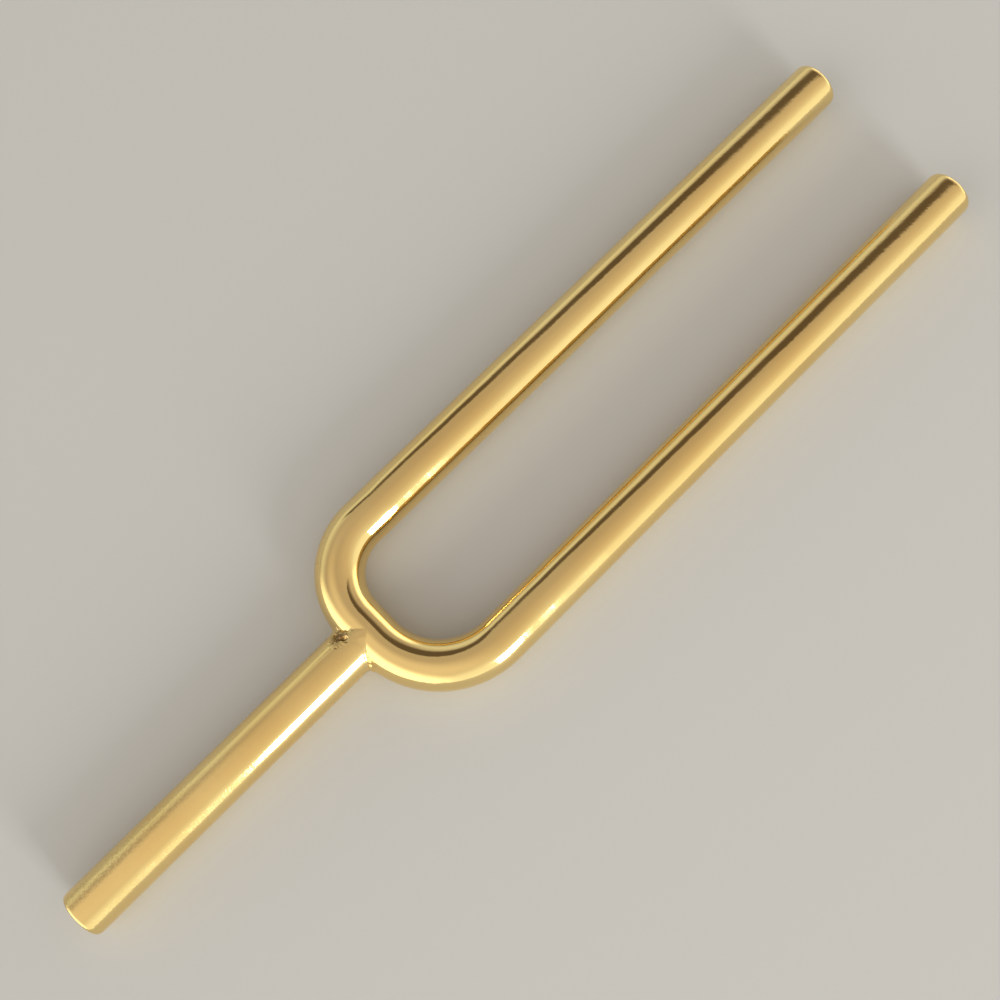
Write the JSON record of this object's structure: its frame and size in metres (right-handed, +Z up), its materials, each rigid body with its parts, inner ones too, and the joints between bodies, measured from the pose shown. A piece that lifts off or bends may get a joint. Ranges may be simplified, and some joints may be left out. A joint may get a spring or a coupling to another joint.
{
  "type": "tuning fork",
  "caption": "Tuning fork of round bar: a U of two long prongs with a handle stem welded to the outside of its bend.",
  "frame": {"origin": "on the surface that the fork lies on, under the middle of its outer box", "axes": "+X towards the prong tips, along the stem; +Y across the prongs; +Z up, square to the flat of the fork"},
  "size_m": [0.208, 0.0434, 0.0095],
  "materials": {
    "bar": "mirror polished, gold-coloured",
    "weld": "polished over, with small pits"
  },
  "bodies": {
    "root": {"prong_bar": "bar", "stem": "bar", "weld_bead": "weld"}
  },
  "joints": []
}
